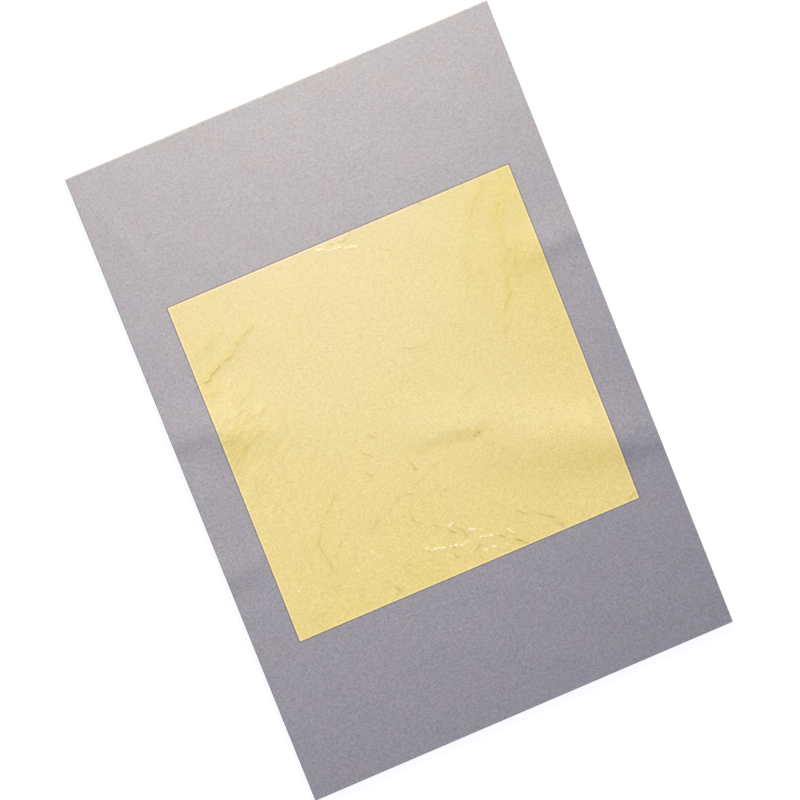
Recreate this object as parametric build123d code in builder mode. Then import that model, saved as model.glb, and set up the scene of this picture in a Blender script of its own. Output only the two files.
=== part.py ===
# A booklet of gold leaf: thin paper sheets gummed along their foot edge, one square gold leaf
# pressed on each, and a creased card cover whose front is folded right back under the block.
# Millimetres. +X runs across the sheets, +Y from the gummed foot to the head, +Z up.
# The origin is the middle of the underside.
from build123d import *
import os

os.makedirs("parts", exist_ok=True)

# Leaf
leaf_side = 80.0
leaf_thickness = 0.01
leaf_shift_x = 0.5
leaf_shift_y = -0.6
leaf_turn = -0.2

# Sheets
sheet_count = 10
sheet_width = 98.6
sheet_length = 148.7
sheet_thickness = 0.04
sheet_air = 0.01
first_sheet_air = 0.02

# Cover card and the gum along the foot edge
card_thickness = 0.25
fold_air = 0.03
closed_air = 1.1  # room for the paper's waves under the closed cover
crease_gap = 0.02
gum_thickness = 0.15
gum_gap = 0.01
spine_gap = 0.05

# Heights of the flat layers, from the table up
back_panel_bottom = card_thickness + fold_air
back_panel_top = back_panel_bottom + card_thickness
layer_pitch = sheet_thickness + leaf_thickness + sheet_air
lowest_sheet_bottom = back_panel_top + first_sheet_air


def sheet_bottom(place):
    """Height of the underside of a sheet; place 1 is the top of the block."""
    return lowest_sheet_bottom + (sheet_count - place) * layer_pitch


block_top = sheet_bottom(1) + sheet_thickness

# The crease between the back and the spine panel turns between the two folded cards, and lies
# outside the gum by its own height, so that the spine panel stands clear of the gum when closed.
fold_crease_height = card_thickness + fold_air / 2
foot_overhang = gum_gap + gum_thickness + spine_gap + fold_crease_height
overall_length = foot_overhang + sheet_length

# Places along the booklet
fold_crease_y = -overall_length / 2
head_y = overall_length / 2
foot_y = head_y - sheet_length
block_middle_y = (foot_y + head_y) / 2
gum_inside_y = foot_y - gum_gap
gum_outside_y = gum_inside_y - gum_thickness
back_panel_foot_y = gum_outside_y - spine_gap + crease_gap

# The spine panel spans from the fold crease to the inner face of the closed front panel.
spine_panel_height = block_top + leaf_thickness + closed_air - fold_crease_height
front_crease_y = fold_crease_y + spine_panel_height


def flat_piece(name, width, near_y, far_y, bottom, thickness):
    """Save one flat rectangular piece that spans near_y to far_y, centred on the width."""
    with BuildPart() as piece:
        with BuildSketch(Plane.XY.offset(bottom)):
            with Locations((0, (near_y + far_y) / 2)):
                Rectangle(width, far_y - near_y)
        extrude(amount=thickness)
    piece.part.label = name
    export_step(piece.part, f"parts/{name}.step")


def gold_leaf(place):
    """Save the square leaf pressed on one sheet."""
    with BuildPart() as leaf:
        with BuildSketch(Plane.XY.offset(sheet_bottom(place) + sheet_thickness)):
            with Locations((leaf_shift_x, block_middle_y + leaf_shift_y)):
                Rectangle(leaf_side, leaf_side, rotation=leaf_turn)
        extrude(amount=leaf_thickness)
    leaf.part.label = f"leaf_{place:02d}"
    export_step(leaf.part, f"parts/leaf_{place:02d}.step")


# Cover: one creased card. At rest its front and spine panels lie flat under the back panel.
flat_piece("cover_back_panel", sheet_width, back_panel_foot_y, head_y, back_panel_bottom, card_thickness)
flat_piece("cover_spine_panel", sheet_width, fold_crease_y, front_crease_y, 0, card_thickness)
flat_piece("cover_front_panel", sheet_width, front_crease_y + crease_gap, head_y, 0, card_thickness)

# Gum: a film that stands on the back panel and holds the foot edge of every sheet
gum_height = block_top - back_panel_top
flat_piece("edge_gum", sheet_width, gum_outside_y, gum_inside_y, back_panel_top, gum_height)

# The block: sheets and leaves, numbered from the top
for place in range(1, sheet_count + 1):
    flat_piece(f"sheet_{place:02d}", sheet_width, foot_y, head_y, sheet_bottom(place), sheet_thickness)
    gold_leaf(place)

print(f"block top {block_top:.3f}, overall length {overall_length:.3f}")
print(f"sheet hinge at y {foot_y:.3f}, fold crease at y {fold_crease_y:.4f} z {fold_crease_height:.4f}")
print(f"front crease at y {front_crease_y:.4f}, spine panel {spine_panel_height:.3f}")
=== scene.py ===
import math
import random
import bpy
import numpy as np
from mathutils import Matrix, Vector


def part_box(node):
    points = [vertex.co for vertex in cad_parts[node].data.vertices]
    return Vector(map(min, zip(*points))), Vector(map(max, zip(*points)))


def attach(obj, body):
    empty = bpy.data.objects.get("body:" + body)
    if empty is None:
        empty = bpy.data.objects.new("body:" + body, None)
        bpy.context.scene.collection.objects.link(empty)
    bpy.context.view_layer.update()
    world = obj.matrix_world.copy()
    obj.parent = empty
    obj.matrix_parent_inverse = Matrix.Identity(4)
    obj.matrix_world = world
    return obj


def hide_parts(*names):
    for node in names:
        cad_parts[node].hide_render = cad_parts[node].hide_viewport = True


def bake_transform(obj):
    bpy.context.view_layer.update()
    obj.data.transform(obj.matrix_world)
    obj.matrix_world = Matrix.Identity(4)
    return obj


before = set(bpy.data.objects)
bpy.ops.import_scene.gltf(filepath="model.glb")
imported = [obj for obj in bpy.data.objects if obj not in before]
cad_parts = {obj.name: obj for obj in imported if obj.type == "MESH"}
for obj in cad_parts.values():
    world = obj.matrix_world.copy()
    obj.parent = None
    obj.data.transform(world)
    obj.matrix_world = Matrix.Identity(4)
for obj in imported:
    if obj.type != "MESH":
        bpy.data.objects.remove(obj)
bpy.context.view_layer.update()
mm = 0.001  # every size below that is a length is written as a number of millimetres times this

# The block as the frame gives it: the top sheet's middle and its cut size
sheetLow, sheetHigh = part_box("sheet_01")
blockTop = sheetHigh[2]
blockMiddle = Vector(((sheetLow[0] + sheetHigh[0]) / 2, (sheetLow[1] + sheetHigh[1]) / 2, blockTop))
sheetWidth = sheetHigh[0] - sheetLow[0]
sheetLength = sheetHigh[1] - sheetLow[1]
sheetCount = sum(name.startswith("sheet_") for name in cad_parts)

cameraView = {
    "aimX": -0.05 * mm,  # where the middle of the picture falls, from the middle of the top sheet
    "aimY": 0.42 * mm,
    "azimuth": -160.77,
    "elevation": 74.29,
    "roll": -138.3,
    "distance": 4309 * mm,
    "lens": 900,
    "sensor": 36,
    "nearest": 0.1,
    "furthest": 100,
}


def towards(azimuth, elevation):
    flat = math.cos(elevation)
    return Vector((math.sin(azimuth) * flat, -math.cos(azimuth) * flat, math.sin(elevation)))


def placeCamera():
    bpy.ops.object.camera_add()
    camera = bpy.context.object
    camera.name = "photo_camera"
    back = towards(math.radians(cameraView["azimuth"]), math.radians(cameraView["elevation"]))
    levelRight = Vector((0, 0, 1)).cross(back).normalized()
    levelUp = back.cross(levelRight)
    roll = math.radians(cameraView["roll"])
    up = levelUp * math.cos(roll) + levelRight * math.sin(roll)
    right = up.cross(back)
    aim = blockMiddle + Vector((cameraView["aimX"], cameraView["aimY"], 0))
    place = camera.matrix_world.copy()
    for column, axis in enumerate((right, up, back, aim + back * cameraView["distance"])):
        for row in range(3):
            place[row][column] = axis[row]
    camera.matrix_world = place
    camera.data.lens = cameraView["lens"]
    camera.data.sensor_width = cameraView["sensor"]
    camera.data.clip_start = cameraView["nearest"]
    camera.data.clip_end = cameraView["furthest"]
    bpy.context.scene.camera = camera


placeCamera()
print("camera placed")


class Wire:  # one socket's value, which takes part in sums as a number does
    def __init__(self, maker, socket):
        self.maker = maker
        self.socket = socket

    def sum(self, operation, first, second):
        return self.maker.node("ShaderNodeMath", {"operation": operation}, {0: first, 1: second})

    def __add__(self, other):
        return self.sum("ADD", self, other)

    def __radd__(self, other):
        return self.sum("ADD", other, self)

    def __sub__(self, other):
        return self.sum("SUBTRACT", self, other)

    def __rsub__(self, other):
        return self.sum("SUBTRACT", other, self)

    def __mul__(self, other):
        return self.sum("MULTIPLY", self, other)

    def __rmul__(self, other):
        return self.sum("MULTIPLY", other, self)


class Maker:  # adds nodes to one tree
    def __init__(self, tree):
        self.tree = tree
        tree.nodes.clear()

    def node(self, kind, settings=None, inputs=None, output=0):
        made = self.tree.nodes.new(kind)
        for name, value in (settings or {}).items():
            setattr(made, name, value)
        for name, value in (inputs or {}).items():
            if isinstance(value, Wire):
                self.tree.links.new(value.socket, made.inputs[name])
            else:
                made.inputs[name].default_value = value
        return Wire(self, made.outputs[output]) if made.outputs else None

    def noise(self, place, scale, detail=2.0, roughness=0.5):
        inputs = {"Vector": place, "Scale": scale, "Detail": detail, "Roughness": roughness}
        return self.node("ShaderNodeTexNoise", None, inputs)

    def blend(self, factor, first, second, kind="MIX"):
        settings = {"data_type": "RGBA", "blend_type": kind}
        inputs = {0: factor, 6: first, 7: second}
        return self.node("ShaderNodeMix", settings, inputs, output=2)

    def ramp(self, value, start, end):
        inputs = {"Value": value, "From Min": start, "From Max": end}
        return self.node("ShaderNodeMapRange", None, inputs)


def newMaterial(name):
    material = bpy.data.materials.new(name)
    material.use_nodes = True
    return material, Maker(material.node_tree)


def finishMaterial(maker, settings):
    shader = maker.node("ShaderNodeBsdfPrincipled", None, settings)
    maker.node("ShaderNodeOutputMaterial", None, {"Surface": shader})


leafLook = {
    "side": 80,
    "turn": -0.2,
    "lift": 0.006,  # air under the leaf
    "squares": 150,  # along one side of the top leaf's mesh
    "plainSquares": 100,  # and of the others
    "smoothAngle": 60,
}
leafLow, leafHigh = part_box("leaf_01")
leafMiddle = ((leafLow[0] + leafHigh[0]) / 2, (leafLow[1] + leafHigh[1]) / 2)


def pastLeafEdge(maker, place):  # how far a point lies outside the leaf's outline, in millimetres
    square = maker.node("ShaderNodeMapping", {"vector_type": "TEXTURE"}, {
        "Vector": place,
        "Location": (*leafMiddle, 0),
        "Rotation": (0, 0, math.radians(leafLook["turn"])),
    })
    reach = [
        maker.node("ShaderNodeMath", {"operation": "ABSOLUTE"}, {
            0: maker.node("ShaderNodeSeparateXYZ", None, {"Vector": square}, output=axis),
        })
        for axis in ("X", "Y")
    ]
    further = maker.node("ShaderNodeMath", {"operation": "MAXIMUM"}, {0: reach[0], 1: reach[1]})
    return further * (1 / mm) - leafLook["side"] / 2


def headward(maker, place, length):  # -0.5 at the foot end of that length, 0.5 at its head end
    along = maker.node("ShaderNodeSeparateXYZ", None, {"Vector": place}, output="Y")
    return (along - blockMiddle.y) * (1 / length)


paperLook = {
    "pale": (0.52, 0.49, 0.522, 1),
    "deep": (0.28, 0.267, 0.288, 1),
    "warm": (1.012, 1.0, 0.988, 1),
    "cool": (0.988, 1.0, 1.012, 1),
    "leafShadow": (0.52, 0.44, 0.36, 1),  # painted shadow: a fine dark line round the leaf's edge
    "leafShadowWidth": 0.3,
    "grain": 3600,  # per metre: the mottling of a fibre or two
    "fleck": 1500,
    "cloud": 200,
    "hue": 160,
    "grainDepth": 1.9,  # these depths say how far each noise drives the colour
    "fleckDepth": 0.62,
    "cloudDepth": 0.14,
    "hueDepth": 4.0,
    "headDepth": 0.1,  # painted light: how much further towards pale the head, nearer the lamp, lies than the foot
    "mottleFoot": 1.2,  # the mottling is weaker towards the head
    "mottleFade": 0.45,
    "roughness": 0.88,
}


def makePaper():
    material, maker = newMaterial("lilac_tissue")
    place = maker.node("ShaderNodeTexCoord", output="Object")
    grain = maker.noise(place, paperLook["grain"], detail=3, roughness=0.75)
    fleck = maker.noise(place, paperLook["fleck"], detail=2, roughness=0.6)
    cloud = maker.noise(place, paperLook["cloud"], detail=4, roughness=0.6)
    hue = maker.noise(place, paperLook["hue"], detail=3, roughness=0.6)
    head = headward(maker, place, sheetLength)
    mottle = (grain - 0.5) * paperLook["grainDepth"] + (fleck - 0.5) * paperLook["fleckDepth"]
    mottle = mottle * (paperLook["mottleFoot"] - head * paperLook["mottleFade"])
    clouded = (cloud - 0.5) * paperLook["cloudDepth"]
    # the head is painted paler than the foot, as painted light
    tone = mottle + clouded + head * paperLook["headDepth"] + 0.5
    plain = maker.blend(tone, paperLook["deep"], paperLook["pale"])
    tint = maker.blend((hue - 0.5) * paperLook["hueDepth"] + 0.5, paperLook["cool"], paperLook["warm"])
    tinted = maker.blend(1.0, plain, tint, "MULTIPLY")
    # a painted shadow line on the paper round the leaf's edge
    line = maker.ramp(pastLeafEdge(maker, place), paperLook["leafShadowWidth"], 0)
    color = maker.blend(line, tinted, maker.blend(1.0, tinted, paperLook["leafShadow"], "MULTIPLY"))
    bump = maker.node("ShaderNodeBump", None, {
        "Strength": 0.3, "Distance": 0.02 * mm, "Height": grain,
    })
    finishMaterial(maker, {
        "Base Color": color,
        "Roughness": paperLook["roughness"],
        "Specular IOR Level": 0.25,
        "Normal": bump,
    })
    return material


goldLook = {
    # the gold's own tone, painted paler towards the head where the lamp lights it and deeper towards the
    # foot: painted light and shade
    "headPaleLit": (0.690, 0.599, 0.382, 1),
    "footDeepShaded": (0.748, 0.619, 0.256, 1),
    # painted shade in the creases and a painted glint on their ridges
    "shade": (0.47, 0.335, 0.065, 1),
    "glint": (0.92, 0.88, 0.68, 1),
    "bright": (1.18, 1.23, 1.3, 1),  # these four multiply the colour, by the grain and the mottling
    "dull": (0.82, 0.77, 0.7, 1),
    "blush": (1.0, 1.0, 1.05, 1),
    "yellowed": (1.0, 1.0, 0.95, 1),
    "facingLampLit": (1.02, 1.04, 1.295, 1),  # and these two, painted light and shade, by how the sheet under the gold lies towards the lamp
    "turnedAwayShaded": (0.98, 0.96, 0.705, 1),
    "leanShade": 2.5,
    # a painted shadow along the leaf's outermost edge
    "edgeShadow": (0.40, 0.32, 0.16, 1),
    "edgeShadowWidth": 0.14,
    "rimHighlight": (1.1, 1.12, 1.35, 1),  # a painted highlight just inside the leaf's edge
    "rimStart": 0.5,  # its inner side fades in between these distances from the edge
    "rimFull": 0.3,
    "grain": 3200,
    "crinkle": 850,
    "cloud": 60,
    "streak": 1100,
    "slant": 38,
    "drawn": 4.5,  # how much longer than wide a streak is
    "headDepth": 0.8,  # these depths say how far each value drives the colour
    "cloudDepth": 0.4,
    "grainDepth": 1.3,
    "crinkleDepth": 0.3,
    "streakDepth": 0.7,
    "mottleDepth": 2.0,
    "creaseDepth": 0.5,
    "speckFoot": 1.1,  # the grain is weaker towards the head
    "speckFade": 0.4,
    "grainRelief": 0.5,
    "streakRelief": 1.3,
    "metal": 0.82,
}


def makeGold():
    material, maker = newMaterial("beaten_gold")
    place = maker.node("ShaderNodeTexCoord", output="Object")
    grain = maker.noise(place, goldLook["grain"], detail=3, roughness=0.7)
    crinkle = maker.noise(place, goldLook["crinkle"], detail=3, roughness=0.6)
    cloud = maker.noise(place, goldLook["cloud"], detail=3)
    head = headward(maker, place, leafLook["side"] * mm)
    leanShade = maker.node("ShaderNodeAttribute", {"attribute_name": "leanShade"}, output="Fac")
    # painted light: the gold is paler towards the head, which the lamp lights
    tone = head * goldLook["headDepth"] + (cloud - 0.5) * goldLook["cloudDepth"] + 0.45
    flat = maker.blend(tone, goldLook["footDeepShaded"], goldLook["headPaleLit"])
    # painted light and shade by how the sheet slopes towards or away from the lamp
    tilt = maker.blend(leanShade * goldLook["leanShade"] + 0.5, goldLook["facingLampLit"], goldLook["turnedAwayShaded"])
    plain = maker.blend(1.0, flat, tilt, "MULTIPLY")
    combed = maker.node("ShaderNodeAttribute", {"attribute_name": "combed"}, output="Fac")
    slant = maker.node("ShaderNodeMapping", {"vector_type": "TEXTURE"}, {
        "Vector": place,
        "Rotation": (0, 0, math.radians(goldLook["slant"])),
        "Scale": (goldLook["drawn"], 1, 1),
    })
    streak = maker.noise(slant, goldLook["streak"], detail=2)
    fine = (grain - 0.5) * goldLook["grainDepth"] + (crinkle - 0.5) * goldLook["crinkleDepth"]
    fine = fine * (goldLook["speckFoot"] - head * goldLook["speckFade"])
    fine = fine + (streak - 0.5) * combed * goldLook["streakDepth"]
    speck = maker.blend(fine + 0.5, goldLook["bright"], goldLook["dull"])
    patchy = (crinkle - 0.5) * goldLook["mottleDepth"] + 0.5
    mottle = maker.blend(patchy, goldLook["blush"], goldLook["yellowed"])
    speckled = maker.blend(1.0, maker.blend(1.0, plain, speck, "MULTIPLY"), mottle, "MULTIPLY")
    # painted shade in the creases and painted glints on their ridges
    crease = maker.node("ShaderNodeAttribute", {"attribute_name": "crease"}, output="Fac")
    creased = maker.blend(crease * goldLook["creaseDepth"], speckled, goldLook["shade"])
    glinting = maker.blend(crease * -1.0, creased, goldLook["glint"])
    edge = pastLeafEdge(maker, place)
    # a painted highlight along the inner side of the leaf's edge
    rimHighlight = maker.ramp(edge, -goldLook["rimStart"], -goldLook["rimFull"])
    rimmed = maker.blend(rimHighlight, glinting, maker.blend(1.0, glinting, goldLook["rimHighlight"], "MULTIPLY"))
    # a painted shadow line along the leaf's edge
    color = maker.blend(maker.ramp(edge, -goldLook["edgeShadowWidth"], 0), rimmed, goldLook["edgeShadow"])
    bump = maker.node("ShaderNodeBump", None, {
        "Strength": 0.5,
        "Distance": 0.02 * mm,
        "Height": grain * goldLook["grainRelief"] + crinkle + streak * combed * goldLook["streakRelief"],
    })
    finishMaterial(maker, {
        "Base Color": color,
        "Metallic": goldLook["metal"],
        "Roughness": 0.58 + 0.08 * cloud,
        "Normal": bump,
    })
    return material


cardLook = {
    "pale": (0.40, 0.38, 0.41, 1),
    "deep": (0.30, 0.285, 0.315, 1),
    "fibre": 900,
    "grain": 3000,
}


def makeCard():
    material, maker = newMaterial("cover_card")
    place = maker.node("ShaderNodeTexCoord", output="Object")
    drawn = maker.node("ShaderNodeMapping", None, {"Vector": place, "Scale": (1, 0.25, 1)})
    fibre = maker.noise(drawn, cardLook["fibre"], detail=4, roughness=0.6)
    grain = maker.noise(place, cardLook["grain"], detail=2)
    color = maker.blend(fibre * 0.8 + grain * 0.4 - 0.1, cardLook["deep"], cardLook["pale"])
    bump = maker.node("ShaderNodeBump", None, {
        "Strength": 0.3, "Distance": 0.03 * mm, "Height": fibre + grain * 0.5,
    })
    finishMaterial(maker, {
        "Base Color": color,
        "Roughness": 0.85,
        "Specular IOR Level": 0.3,
        "Normal": bump,
    })
    return material


gumLook = {
    "pale": (0.46, 0.44, 0.47, 1),
    "deep": (0.38, 0.365, 0.39, 1),
    "streak": 4000,
}


def makeGum():
    material, maker = newMaterial("padding_gum")
    place = maker.node("ShaderNodeTexCoord", output="Object")
    streak = maker.node("ShaderNodeMapping", None, {"Vector": place, "Scale": (0.2, 1, 1)})
    brushed = maker.noise(streak, gumLook["streak"], detail=3)
    color = maker.blend(brushed, gumLook["deep"], gumLook["pale"])
    bump = maker.node("ShaderNodeBump", None, {
        "Strength": 0.4, "Distance": 0.03 * mm, "Height": brushed,
    })
    finishMaterial(maker, {
        "Base Color": color,
        "Roughness": 0.35 + 0.2 * brushed,
        "Normal": bump,
    })
    return material


paper, gold, card, gum = makePaper(), makeGold(), makeCard(), makeGum()
print("materials made")

# Where the paper has buckled in from its long edges: the crest's points from the middle of the
# sheet, each with its height and how far the swell reaches from it to the foot side, and how far
# it reaches to the head side.
puckers = [
    {"crest": [(49.3, 19.8, 0.33, 3), (42, 19.4, 0.38, 3), (38, 19.2, 0.2, 3), (34, 19, 0, 3)],
     "head": 5.0},
    {"crest": [(49.3, -30, 0.38, 3.4), (44, -28.8, 0.3, 3.4), (38, -27, 0, 3.4)], "head": 6.0},
    {"crest": [(46, -28.6, 0.1, 5), (40, -26.4, 0.58, 5), (34, -23.8, 0.75, 5.6),
               (26, -19.8, 0.55, 8), (19, -16.6, 0.35, 8), (13.2, -13.8, 0.1, 3)], "head": 7.5},
    {"crest": [(12.2, -11.4, 0.2, 1.6), (8, -10.2, 0.2, 1.8), (2, -9.7, 0.15, 2), (-5, -9.9, 0, 2)],
     "head": 6.5},
    {"crest": [(-49.3, 11.8, 0.33, 3.4), (-42, 11.4, 0.36, 3.4), (-37, 9.2, 0.5, 4.6),
               (-32, 6.6, 0.3, 4.6), (-26, 5.5, 0, 4.6)], "head": 6.5},
    {"crest": [(-49.3, -20.9, 0.26, 3.2), (-43, -20.8, 0.22, 3.2), (-38.5, -20.6, 0, 3.2)],
     "head": 4.6},
    {"crest": [(-49.3, -31.2, 0.08, 2.4), (-43, -31, 0, 2.4)], "head": 2.6},
    {"crest": [(-45.6, 68, 0.02, 1.5), (-43, 57, 0.1, 1.5), (-39.4, 44, 0, 1.5)], "head": 3.0},
]
sheetLook = {
    "fine": 0.6,  # a square of the top sheet's mesh
    "middling": 1.0,
    "plain": 1.5,
    "nesting": 0.6,  # how much of the swell of a sheet the next one down still has
    "ripple": 0.012,
    "rippleSize": 17,
    "footFree": 10,  # the gum holds the paper flat over this length
    "stray": 0.04,  # how far a sheet's edge may lie beside the others'
    "bend": 12,  # a length from the gum, in millimetres
    "smoothAngle": 40,
}
noiseWaves = 12
tiny = 1e-6


def softNoise(x, y, seed, size):
    chance = random.Random(seed)
    total = np.zeros_like(x)
    for _ in range(noiseWaves):
        heading, phase = chance.uniform(0, 2 * math.pi), chance.uniform(0, 2 * math.pi)
        turns = 2 * math.pi / (size * chance.uniform(0.7, 1.8))
        total += np.sin((x * math.cos(heading) + y * math.sin(heading)) * turns + phase)
    return total * math.sqrt(2 / noiseWaves)


def ridge(x, y, crest, headReach):
    height = np.zeros_like(x)
    for (x0, y0, h0, foot0), (x1, y1, h1, foot1) in zip(crest, crest[1:]):
        runX, runY = x1 - x0, y1 - y0
        along = ((x - x0) * runX + (y - y0) * runY) / (runX ** 2 + runY ** 2)
        held = np.clip(along, 0, 1)
        offX, offY = x - x0 - held * runX, y - y0 - held * runY
        off = np.sqrt(offX ** 2 + offY ** 2)
        headShare = 0.5 + 0.5 * offY / np.maximum(off, tiny)
        footReach = foot0 + held * (foot1 - foot0)
        reach = footReach + (headReach - footReach) * headShare
        here = (h0 + held * (h1 - h0)) * np.exp(-(off / reach) ** 2)
        height = np.maximum(height, here)
    return height


def swellHeight(x, y):
    height = sum(ridge(x, y, swell["crest"], swell["head"]) for swell in puckers)
    ripple = softNoise(x, y, 5, sheetLook["rippleSize"])
    height = height + sheetLook["ripple"] * np.clip(2 + ripple, 0, 4)
    free = np.clip((y + sheetLength / mm / 2) / sheetLook["footFree"], 0, 1)
    return height * free * free * (3 - 2 * free)


def deselect():
    bpy.ops.object.select_all(action="DESELECT")


def addGrid(name, across, along, width, length, middle):
    deselect()
    bpy.ops.mesh.primitive_grid_add(x_subdivisions=across, y_subdivisions=along, size=1)
    piece = bpy.context.object
    piece.name = name
    bpy.ops.object.mode_set(mode="EDIT")
    bpy.ops.mesh.select_all(action="SELECT")
    bpy.ops.transform.resize(value=(width, length, 1))
    bpy.ops.transform.translate(value=middle)
    bpy.ops.object.mode_set(mode="OBJECT")
    return piece


def readPoints(piece):
    points = np.empty(len(piece.data.vertices) * 3)
    piece.data.vertices.foreach_get("co", points)
    return points.reshape(-1, 3)


def writePoints(piece, points):
    piece.data.vertices.foreach_set("co", points.ravel())
    piece.data.update()


def thicken(piece, thickness):
    modifier = piece.modifiers.new("thickness", "SOLIDIFY")
    modifier.thickness = thickness
    modifier.offset = -1
    bpy.context.view_layer.objects.active = piece
    bpy.ops.object.modifier_apply(modifier=modifier.name)


def dress(piece, material, node):
    piece.data.materials.clear()
    piece.data.materials.append(material)
    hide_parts(node)


def makeSheet(place):
    low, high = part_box(f"sheet_{place:02d}")
    square = {1: sheetLook["fine"], 2: sheetLook["middling"]}.get(place, sheetLook["plain"]) * mm
    across, along = round(sheetWidth / square), round(sheetLength / square)
    stray = 0 if place == 1 else sheetLook["stray"] * mm * random.Random(place).uniform(-1, 1)
    middle = (blockMiddle.x + stray, blockMiddle.y, high[2])
    piece = addGrid(f"paper_{place:02d}", across, along, sheetWidth, sheetLength, middle)
    points = readPoints(piece)
    x, y = (points[:, 0] - blockMiddle.x) / mm, (points[:, 1] - blockMiddle.y) / mm
    share = sheetLook["nesting"] ** (place - 1)
    points[:, 2] += swellHeight(x, y) * share * mm
    writePoints(piece, points)
    thicken(piece, high[2] - low[2])
    bpy.ops.object.shade_smooth_by_angle(angle=math.radians(sheetLook["smoothAngle"]))
    dress(piece, paper, f"sheet_{place:02d}")
    if place == 1:
        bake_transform(piece)
    else:
        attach(piece, f"page_{place:02d}")


for place in range(1, sheetCount + 1):
    makeSheet(place)
print("sheets made")

# Creases of the top leaf, from the middle of the sheet: each is a strength and the points it runs
# through. Those in the first list are raised and painted with shade, those in the second are wide
# soft folds, and those in the third are raised and painted with a glint.
shadedCreases = [
    (1.2, [(-37.7, 21.3), (-36.7, 21.4), (-35.3, 22.3), (-33.4, 23.6)]),
    (0.9, [(-33.4, 23.6), (-31.2, 24), (-29.3, 25), (-28, 26.4)]),
    (0.5, [(-28, 26.4), (-26.4, 27.5), (-23.6, 28.7)]),
    (0.25, [(-37.7, 26.9), (-35.8, 27.4), (-34.5, 28.3), (-32.9, 29.4)]),
    (0.3, [(-38.8, 18.3), (-37, 17.8), (-35.8, 18)]),
    (0.15, [(-33, 15), (-27.5, 17.3)]),
    (0.35, [(-31.8, 9.6), (-29, 10.2), (-26.9, 11.2)]),
    (0.4, [(-38.8, 7.2), (-37, 7.2), (-35, 8)]),
    (0.35, [(-38.3, 1.5), (-36.1, 3.4), (-32.9, 5.3), (-30.2, 6.6)]),
    (0.4, [(-38.8, -0.7), (-37.5, 0.6), (-36, 2)]),
    (0.3, [(-38.5, 13), (-33, 13.6), (-29, 15.4)]),
    (0.15, [(-38, -3.5), (-33, -1)]),
    (0.2, [(-36, 11), (-30.5, 13)]),
    (0.25, [(35.5, 38.8), (33.5, 37.4), (30.9, 34.9), (28.6, 32)]),
    (0.15, [(25, 27), (24, 24), (23, 18), (20, 13)]),
    (0.3, [(37.5, 32.5), (36.5, 31), (34, 29), (33.5, 24.6), (33, 22), (31.9, 19.4)]),
    (0.4, [(36.6, 23), (35, 21), (33.7, 17.9), (31.2, 16), (30.7, 13.3), (28.6, 10.2), (26.5, 5)]),
    (0.8, [(34.2, 21.9), (33.8, 21.5)]),
    (0.8, [(30.9, 13), (30.4, 12.6)]),
    (0.4, [(35.4, 32.2), (33.9, 29.7)]),
    (0.25, [(37.6, 35.4), (36.1, 33.9)]),
    (0.2, [(27, 20), (26.3, 16.9), (25.3, 14.3)]),
    (0.45, [(5, 10.8), (7.2, 10), (9.5, 9.5), (12, 11)]),
    (0.3, [(16, 11.5), (18, 11)]),
    (0.55, [(13.2, -4.5), (14, -3.8), (16, -3.2)]),
    (0.5, [(8.4, -12.6), (10.5, -12.9), (12, -13.1)]),
    (1.2, [(11.9, -13.2), (12.3, -13.2)]),
    (1.7, [(13.0, -13.0), (13.25, -12.9)]),
    (0.45, [(-20.6, -13.1), (-22.5, -15), (-24.1, -16.9), (-26, -18.2), (-27, -20)]),
    (0.65, [(-27, -20), (-27.9, -22.7), (-27.6, -24.9), (-27, -27), (-27.2, -28.9)]),
    (0.55, [(-21.4, -22.2), (-23.9, -24), (-25.5, -26)]),
    (0.3, [(-22.5, -4.2), (-20, -2)]),
    (0.7, [(-12.5, -11.5), (-11.7, -12.3)]),
    (0.65, [(-11.8, -7.3), (-10.8, -8.2)]),
    (0.55, [(-9, -4), (-8, -5)]),
    (0.7, [(-3, -13.5), (-2.1, -15.3)]),
    (0.6, [(-2.2, -17), (-4.2, -18.9), (-5.4, -19.8), (-6.3, -18.9)]),
    (0.4, [(-6.3, -18.9), (-8, -19.3), (-10.5, -21.3)]),
    (0.8, [(1.8, -21.7), (2, -21.9)]),
    (0.6, [(-16, -23.5), (-14, -22)]),
    (0.8, [(-7.2, -24.3), (-6.6, -25.8), (-5.4, -27)]),
    (0.5, [(-3.6, -28), (-2.1, -29.1)]),
    (0.5, [(-11.9, -35.3), (-11.1, -36.9)]),
    (1.0, [(-0.9, -34.5), (-1.2, -35.6), (-1, -36.9)]),
    (0.8, [(-16.6, -36.4), (-15.6, -37.7), (-14.8, -39.6)]),
    (0.3, [(-35.6, -37.5), (-33.5, -36.6), (-31.4, -36.7)]),
    (0.4, [(-28.5, -32.5), (-27, -32)]),
    (0.3, [(-23.5, -36.5), (-22.5, -35)]),
    (1.3, [(-0.4, -30.7), (0.2, -31.3)]),
    (0.6, [(0.9, -30), (2.1, -31.5)]),
    (1.0, [(2.1, -31.5), (2.4, -33.3)]),
    (0.9, [(3.2, -37), (4.5, -36.1)]),
    (1.0, [(9.3, -36), (9.9, -36.8)]),
    (0.6, [(3.6, -38.7), (4.1, -39.4)]),
    (1.5, [(12.3, -38.1), (13.2, -38.9), (14.2, -40)]),
    (0.4, [(10.5, -28.6), (12, -29.7), (14.4, -32.4)]),
    (0.8, [(14.4, -32.4), (16.8, -33.9), (19.2, -35.2)]),
    (1.2, [(19.2, -35.2), (21.3, -36.9), (22.8, -39.3)]),
    (0.8, [(38.2, -39.9), (39.8, -39.2)]),
    (0.3, [(-1, -21.2), (1, -20.5)]),
    (0.3, [(0.5, -16.3), (3, -15.5)]),
    (0.5, [(-1.4, 38.6), (-0.6, 38.3)]),
    (0.5, [(0.4, 38.1), (1.2, 37.9), (2, 38.5)]),
    (0.7, [(2.7, 38.7), (3.3, 39.1)]),
    (0.9, [(19.4, 39.3), (20.1, 39.2)]),
]
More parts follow.
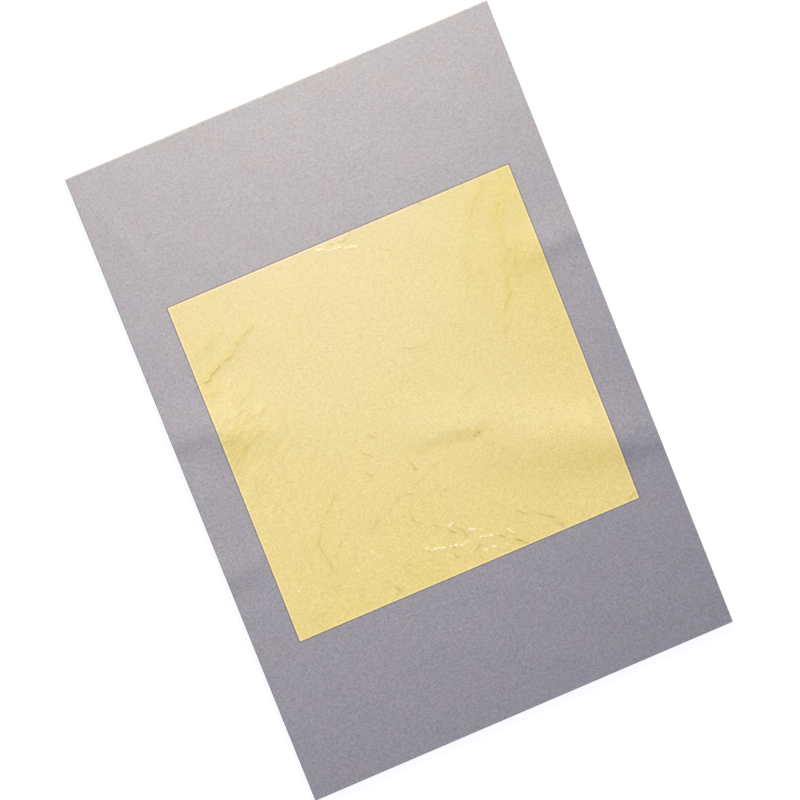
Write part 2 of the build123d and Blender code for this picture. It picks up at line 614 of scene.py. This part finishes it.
softFolds = [
    (0.8, [(34, 30.2), (33.7, 27.7), (33.5, 24.6), (33, 22), (31.9, 19.4), (31.2, 16.9), (30.7, 13.3),
           (28.6, 10.2), (27.6, 7.1)]),
    (1.0, [(38.1, 33.8), (36, 31.8), (34.5, 29.7)]),
    (0.7, [(36.6, 23), (35, 21), (33.7, 17.9), (32.5, 15.3)]),
    (0.7, [(33.5, 37.4), (30.9, 34.9), (28.6, 32)]),
    (0.5, [(27, 30), (25.8, 27.1), (24.7, 24.6), (23.8, 20)]),
    (0.5, [(27, 20), (26.3, 16.9), (25.3, 14.3)]),
    (0.6, [(-37.7, 26.9), (-34.5, 28.3), (-32.9, 29.4), (-30.7, 29.7)]),
    (0.9, [(-37.7, 21.3), (-35.3, 22.3), (-33.4, 23.7), (-31.2, 24), (-29.3, 25), (-26.4, 27.5),
           (-23.6, 28.7)]),
    (0.6, [(-38.8, 18.3), (-35.8, 18)]),
    (0.4, [(-31.2, 15.6), (-27.7, 17.2)]),
    (0.5, [(-31.8, 9.6), (-26.9, 11.2)]),
    (0.6, [(-38.8, 7.2), (-35, 8)]),
    (0.8, [(-38.3, 1.5), (-36.1, 3.4), (-32.9, 5.3), (-30.2, 6.6)]),
    (0.4, [(-20.6, -13.1), (-24.1, -16.9), (-27.9, -22.7), (-27, -27)]),
    (0.5, [(8.5, 10), (10.5, 9.8)]),
]
glintCreases = [
    (0.9, [(-5, 38.3), (-1, 37), (3.3, 35.8)]),
    (1.0, [(-6, -27.5), (-5, -27.7), (-3.9, -28.5)]),
    (0.35, [(-18, -28.4), (-16.4, -30)]),
    (1.2, [(-6.9, -32.4), (-5.4, -33), (-4.2, -33.5), (-3, -33.9), (-0.9, -34.3), (0.6, -34.8)]),
    (0.7, [(-0.3, -29.7), (0.9, -29.6)]),
    (0.8, [(3.5, -32.3), (4.5, -32.6)]),
    (0.4, [(5.5, -33.1), (6.1, -33.5)]),
    (0.5, [(0.6, -34.8), (2.5, -34.6)]),
    (1.5, [(5.1, -34.8), (7.2, -35.3), (9, -35.4)]),
    (0.6, [(11.1, -35.5), (12, -36.6)]),
    (0.4, [(1.6, -36.9), (2.2, -37.1)]),
    (0.6, [(4.8, -37.6), (5.6, -37.9)]),
    (0.6, [(6.8, -38.2), (7.6, -38.5)]),
    (0.35, [(28.2, -36.8), (28.8, -36.9)]),
    (0.2, [(13.4, -13.6), (14.6, -14.1)]),
    (0.6, [(-35.8, -29.9), (-35.4, -30)]),
    (0.5, [(-22.4, -31), (-22.1, -31.2)]),
]


# Sizes in millimetres, as the points above
creaseLook = {
    "height": 0.06,
    "plainHeight": 0.006,  # on the lower leaves
    "width": 0.18,
    "skirt": 0.8,  # the reach of the faint painted shade and low rise beside a crease
    "foldWidth": 1.3,
    "skirtRise": 0.3,  # heights of the skirt and of a soft fold, as shares of a crease's
    "foldRise": 0.5,
    "coreShade": 0.85,
    "skirtShade": 0.15,
    "wander": 0.1,  # how far a crease strays from its drawn line
    "wanderSize": 4,
    "patch": 2.2,  # how long the stronger and weaker stretches of a shaded crease are
    "dot": 0.7,  # and of a glinting one
    "shadeHeld": 0.7,  # how strong a stretch is on the average
    "glintHeld": 0.25,
    "unevenness": 0.6,
    "strongest": 1.3,
    "refineSkirt": 0.6,  # the mesh is finer where the fields are above these
    "refineCore": 0.2,
}
strayLook = {
    "shades": 14,  # how many a lower leaf has of each kind
    "glints": 4,
    "folds": 4,
    "glintSeed": 50,
    "foldSeed": 100,
    "spread": 36,
    "bend": 0.5,
    "step": (1, 4),
    "steps": 3,
    "strength": (0.3, 0.9),
}
# How much painted shade the gold takes from the lie of the sheet: slopes, and places in millimetres
leanLook = {
    "fold": 0.09,  # a soft fold is painted with shade as this slope of the sheet would be
    "side": 0.18,  # and so do the leaf's two sides
    "sideMiddle": -6,
    "sideReach": 45,
    "footY": -30,  # the sides deepen from here
    "footRise": 50,  # over this length towards the head
    "even": 0.15,
    "step": 0.5,  # the slope is taken over this to each side
}
combedLook = {
    "middle": (-34, 3),
    "reach": (8, 16),
    "folds": 0.35,
}
paintLimit = 2


def strayCreases(seed, count):
    chance = random.Random(seed)
    spread, bendMost = strayLook["spread"], strayLook["bend"]
    drawn = []
    for _ in range(count):
        points = [(chance.uniform(-spread, spread), chance.uniform(-spread, spread))]
        heading = chance.uniform(0, math.pi)
        bend = chance.uniform(-bendMost, bendMost)
        step = chance.uniform(*strayLook["step"])
        for turn in range(strayLook["steps"]):
            x, y = points[-1]
            angle = heading + bend * turn
            points.append((x + step * math.cos(angle), y + step * math.sin(angle)))
        drawn.append((chance.uniform(*strayLook["strength"]), points))
    return drawn


def creaseField(x, y, creases, seed, width, patch=None, held=1.0):
    wander, wanderSize = creaseLook["wander"], creaseLook["wanderSize"]
    strayX = x + wander * softNoise(x, y, seed, wanderSize)
    strayY = y + wander * softNoise(x, y, seed + 1, wanderSize)
    broken = np.ones_like(x)
    if patch:
        uneven = creaseLook["unevenness"] * softNoise(x, y, seed + 2, patch)
        broken = np.clip(held + uneven, 0, creaseLook["strongest"])
    field = np.zeros_like(x)
    margin = 3 * width  # further off, a crease adds next to nothing
    for strength, points in creases:
        across, down = [point[0] for point in points], [point[1] for point in points]
        near = (strayX > min(across) - margin) & (strayX < max(across) + margin)
        near &= (strayY > min(down) - margin) & (strayY < max(down) + margin)
        crest = [(px, py, strength, width) for px, py in points]
        here = ridge(strayX[near], strayY[near], crest, width)
        if len(points) > 2:  # a crease of two points is short, and stays whole
            here *= broken[near]
        field[near] = np.maximum(field[near], here)
    return field


def paint(piece, name, values):
    attribute = piece.data.attributes.new(name, "FLOAT", "POINT")
    attribute.data.foreach_set("value", np.clip(values, -paintLimit, paintLimit).astype(np.float32))


def refineNear(piece, wanted):
    middles = np.empty(len(piece.data.polygons) * 3)
    piece.data.polygons.foreach_get("center", middles)
    middles = middles.reshape(-1, 3)
    chosen = wanted((middles[:, 0] - blockMiddle.x) / mm, (middles[:, 1] - blockMiddle.y) / mm)
    bpy.ops.object.mode_set(mode="EDIT")
    bpy.ops.mesh.select_mode(type="FACE")
    bpy.ops.mesh.select_all(action="DESELECT")
    bpy.ops.object.mode_set(mode="OBJECT")
    piece.data.polygons.foreach_set("select", chosen)
    bpy.ops.object.mode_set(mode="EDIT")
    bpy.ops.mesh.subdivide(number_cuts=1)
    bpy.ops.object.mode_set(mode="OBJECT")


# the painted shade of the gold by how the sheet slopes away from the lamp, by its soft folds and by its two
# sides
def leanOf(x, y, nested, folded):
    step = leanLook["step"]
    slope = (swellHeight(x, y + step) - swellHeight(x, y - step)) * nested / (2 * step)
    fromFoot = np.clip((y - leanLook["footY"]) / leanLook["footRise"], 0, 1)
    sideward = ((x - leanLook["sideMiddle"]) / leanLook["sideReach"]) ** 2 * fromFoot - leanLook["even"]
    return slope + leanLook["fold"] * folded + leanLook["side"] * sideward


def combedOf(x, y):  # the patch at the leaf's left edge that lies in fine streaks
    (middleX, middleY), (reachX, reachY) = combedLook["middle"], combedLook["reach"]
    return np.exp(-((x - middleX) / reachX) ** 2 - ((y - middleY) / reachY) ** 2)


def makeLeaf(place):
    low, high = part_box(f"leaf_{place:02d}")
    side, top = leafLook["side"] * mm, place == 1
    centre = ((low[0] + high[0]) / 2, (low[1] + high[1]) / 2, high[2] + leafLook["lift"] * mm)
    squares = leafLook["squares"] if top else leafLook["plainSquares"]
    piece = addGrid(f"gold_{place:02d}", squares, squares, side, side, centre)
    bpy.ops.object.mode_set(mode="EDIT")
    bpy.ops.transform.rotate(value=-math.radians(leafLook["turn"]), orient_axis="Z", center_override=centre)
    bpy.ops.object.mode_set(mode="OBJECT")
    shaded, glints, folds = shadedCreases, glintCreases, softFolds
    if not top:
        shaded = strayCreases(place, strayLook["shades"])
        glints = strayCreases(place + strayLook["glintSeed"], strayLook["glints"])
        folds = strayCreases(place + strayLook["foldSeed"], strayLook["folds"])
    both = [(1, points) for _, points in shaded + glints]
    width, skirt = creaseLook["width"], creaseLook["skirt"]
    refineNear(piece, lambda x, y: creaseField(x, y, both, place, skirt) > creaseLook["refineSkirt"])
    if top:
        refineNear(piece, lambda x, y: creaseField(x, y, both, place, width) > creaseLook["refineCore"])
    points = readPoints(piece)
    x, y = (points[:, 0] - blockMiddle.x) / mm, (points[:, 1] - blockMiddle.y) / mm
    shade = creaseField(x, y, shaded, place, width, creaseLook["patch"], creaseLook["shadeHeld"])
    shadeSkirt = creaseField(x, y, shaded, place, skirt)
    glint = creaseField(x, y, glints, place, width, creaseLook["dot"], creaseLook["glintHeld"])
    glintSkirt = creaseField(x, y, glints, place, skirt)
    folded = creaseField(x, y, folds, place, creaseLook["foldWidth"])
    tall = creaseLook["height"] if top else creaseLook["plainHeight"]
    nested = sheetLook["nesting"] ** (place - 1)
    rise = creaseLook["skirtRise"]
    risen = np.maximum(shade + rise * shadeSkirt, glint + rise * glintSkirt)
    relief = swellHeight(x, y) * nested
    relief += tall * (risen + creaseLook["foldRise"] * folded)
    points[:, 2] += relief * mm
    writePoints(piece, points)
    # painted shade along the creases, and painted glints where the value is below nought
    paint(piece, "crease", shade * creaseLook["coreShade"] + shadeSkirt * creaseLook["skirtShade"] - glint)
    # painted shade by the lie of the sheet
    paint(piece, "leanShade", leanOf(x, y, nested, folded))
    paint(piece, "combed", combedOf(x, y) + combedLook["folds"] * folded)
    thicken(piece, high[2] - low[2])
    bpy.ops.object.shade_smooth_by_angle(angle=math.radians(leafLook["smoothAngle"]))
    dress(piece, gold, f"leaf_{place:02d}")
    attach(piece, f"page_{place:02d}")


for place in range(1, sheetCount + 1):
    makeLeaf(place)
print("leaves made")


coverLook = {
    "turns": 10,  # segments round the fold
    "proud": 0.003,  # the strip over the front crease stands off the panels by this
    "strip": 0.12,  # its reach to each side of the crease
    "cuts": 7,
    "smoothAngle": 30,
}


def dressCover():
    for node, material in (("cover_back_panel", card), ("cover_spine_panel", card),
                           ("cover_front_panel", card), ("edge_gum", gum)):
        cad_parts[node].data.materials.clear()
        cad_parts[node].data.materials.append(material)


def makeFold():
    backLow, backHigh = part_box("cover_back_panel")
    spineLow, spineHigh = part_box("cover_spine_panel")
    middleZ, outer, inner = backHigh.z / 2, backHigh.z / 2, (backLow.z - spineHigh.z) / 2
    turnY, width = spineLow.y + outer, backHigh.x - backLow.x
    steps = [math.pi * step / coverLook["turns"] for step in range(coverLook["turns"] + 1)]
    outside = [(turnY - outer * math.sin(a), middleZ + outer * math.cos(a)) for a in steps]
    inside = [(turnY - inner * math.sin(a), middleZ + inner * math.cos(a)) for a in reversed(steps)]
    outline = [(backLow.y, backHigh.z)] + outside + inside + [(backLow.y, backLow.z)]
    deselect()
    bpy.ops.mesh.primitive_circle_add(vertices=len(outline), radius=1, fill_type="NGON")
    piece = bpy.context.object
    piece.name = "cover_fold"
    for vertex, (y, z) in zip(piece.data.vertices, outline):
        vertex.co = (-width / 2, y, z)
    bpy.ops.object.mode_set(mode="EDIT")
    bpy.ops.mesh.select_all(action="SELECT")
    bpy.ops.mesh.extrude_region_move(TRANSFORM_OT_translate={"value": (width, 0, 0)})
    bpy.ops.mesh.select_all(action="SELECT")
    bpy.ops.mesh.normals_make_consistent(inside=False)
    bpy.ops.object.mode_set(mode="OBJECT")
    bpy.ops.object.shade_smooth_by_angle(angle=math.radians(coverLook["smoothAngle"]))
    piece.data.materials.append(card)
    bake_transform(piece)


def makeCreaseStrip():
    spineLow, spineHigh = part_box("cover_spine_panel")
    reach, proud = coverLook["strip"] * mm, coverLook["proud"] * mm
    middle = (0, spineHigh.y, spineHigh.z / 2)
    size = (spineHigh.x - spineLow.x, 2 * reach, spineHigh.z + 2 * proud)
    deselect()
    bpy.ops.mesh.primitive_cube_add(size=1)
    piece = bpy.context.object
    piece.name = "crease_strip"
    bpy.ops.object.mode_set(mode="EDIT")
    bpy.ops.mesh.select_all(action="SELECT")
    bpy.ops.mesh.subdivide(number_cuts=coverLook["cuts"])
    bpy.ops.transform.resize(value=size)
    bpy.ops.transform.translate(value=middle)
    bpy.ops.object.mode_set(mode="OBJECT")
    bpy.ops.object.shade_smooth_by_angle(angle=math.radians(coverLook["smoothAngle"]))
    piece.data.materials.append(card)
    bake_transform(piece)


dressCover()
makeFold()
makeCreaseStrip()
print("cover dressed")

studio = {
    "keyPlace": (0.15, 0.40, 0.21),
    "keyAim": (-0.04, 0.02, 0),
    "keySize": 0.1,
    "keySpread": 67,
    "keyPower": 0.56,
    "keyColor": (1.0, 0.95, 0.74),
    "fill": (0.22, 0.25, 0.42, 1),
    "floorSize": 12,
    "floorDrop": 0.02,
    "floorPlain": (0.8, 0.8, 0.8, 1),
    "floorLit": (0.18, 0.18, 0.18, 1),  # this much of the floor takes the object's shadow
    "floorGlow": 0.93,
    "white": (1, 1, 1, 1),
}


def placeKey():
    deselect()
    bpy.ops.object.light_add(type="AREA", location=studio["keyPlace"])
    lamp = bpy.context.object
    lamp.name = "key_lamp"
    back = Vector(studio["keyPlace"]) - Vector(studio["keyAim"])
    lamp.rotation_euler = back.to_track_quat("Z", "Y").to_euler()
    lamp.data.shape = "DISK"
    lamp.data.size = studio["keySize"]
    lamp.data.spread = math.radians(studio["keySpread"])
    lamp.data.energy = studio["keyPower"]
    lamp.data.color = studio["keyColor"]


def makeWorld():
    world = bpy.data.worlds.new("studio")
    bpy.context.scene.world = world
    world.use_nodes = True
    maker = Maker(world.node_tree)
    seen = seenDirectly(maker)
    fill = maker.node("ShaderNodeBackground", None, {"Color": studio["fill"], "Strength": 1.0})
    white = maker.node("ShaderNodeBackground", None, {"Color": studio["white"], "Strength": 1.0})
    both = maker.node("ShaderNodeMixShader", None, {0: seen, 1: fill, 2: white})
    maker.node("ShaderNodeOutputWorld", None, {"Surface": both})


def seenDirectly(maker):
    camera = maker.node("ShaderNodeLightPath", output="Is Camera Ray")
    glossy = maker.node("ShaderNodeLightPath", output="Is Glossy Ray")
    through = maker.node("ShaderNodeLightPath", output="Is Transmission Ray")
    return camera + glossy + through


def makeFloor():
    deselect()
    bpy.ops.mesh.primitive_plane_add(size=studio["floorSize"], location=(0, 0, -studio["floorDrop"] * mm))
    floor = bpy.context.object
    floor.name = "floor"
    material, maker = newMaterial("floor_white")
    seen = seenDirectly(maker)
    plain = maker.node("ShaderNodeBsdfDiffuse", None, {"Color": studio["floorPlain"]})
    lit = maker.node("ShaderNodeBsdfDiffuse", None, {"Color": studio["floorLit"]})
    glow = {"Color": studio["white"], "Strength": studio["floorGlow"]}
    white = maker.node("ShaderNodeEmission", None, glow)
    shown = maker.node("ShaderNodeAddShader", None, {0: lit, 1: white})
    both = maker.node("ShaderNodeMixShader", None, {0: seen, 1: plain, 2: shown})
    maker.node("ShaderNodeOutputMaterial", None, {"Surface": both})
    floor.data.materials.append(material)


placeKey()
makeWorld()
makeFloor()
bpy.context.scene.view_settings.view_transform = "Standard"
print("studio ready")
